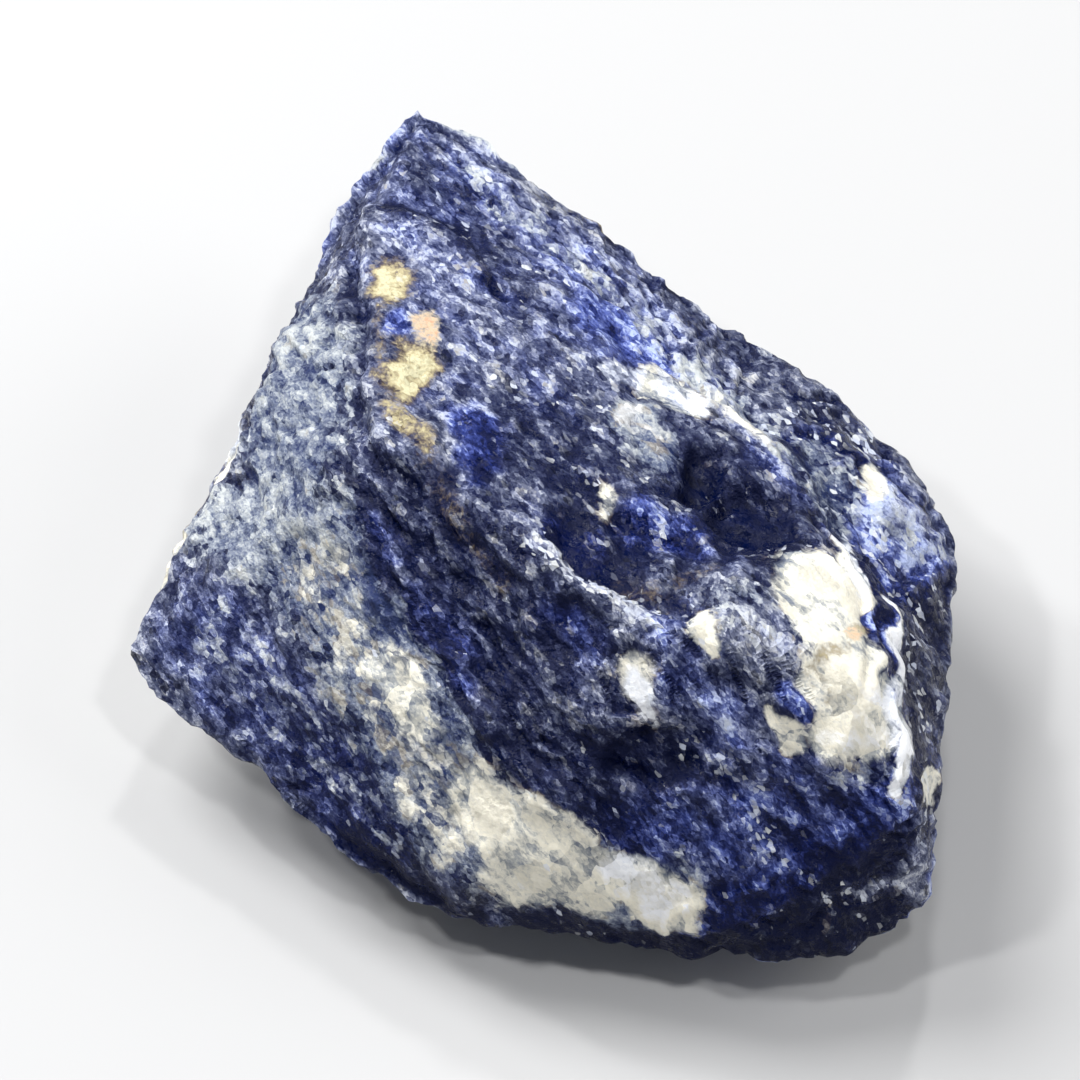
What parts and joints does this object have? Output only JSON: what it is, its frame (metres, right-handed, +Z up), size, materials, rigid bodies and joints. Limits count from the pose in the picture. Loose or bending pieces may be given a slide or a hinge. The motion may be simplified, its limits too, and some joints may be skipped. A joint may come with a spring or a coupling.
{
  "type": "rough sodalite",
  "caption": "Rough broken lump of blue sodalite with pale veins, wedge-shaped, resting on a small flat underneath.",
  "frame": {"origin": "middle of the small flat underneath that the stone rests on", "axes": "+Z up from the flat, +Y back from the steep front towards the thin tip, +X to the right seen from the front"},
  "size_m": [0.0475, 0.0533, 0.0243],
  "materials": {
    "sodalite": "rough broken rock, granular, royal blue with black specks and grey-white and cream veins"
  },
  "bodies": {
    "root": {"sodalite_stone": "sodalite"}
  },
  "joints": []
}
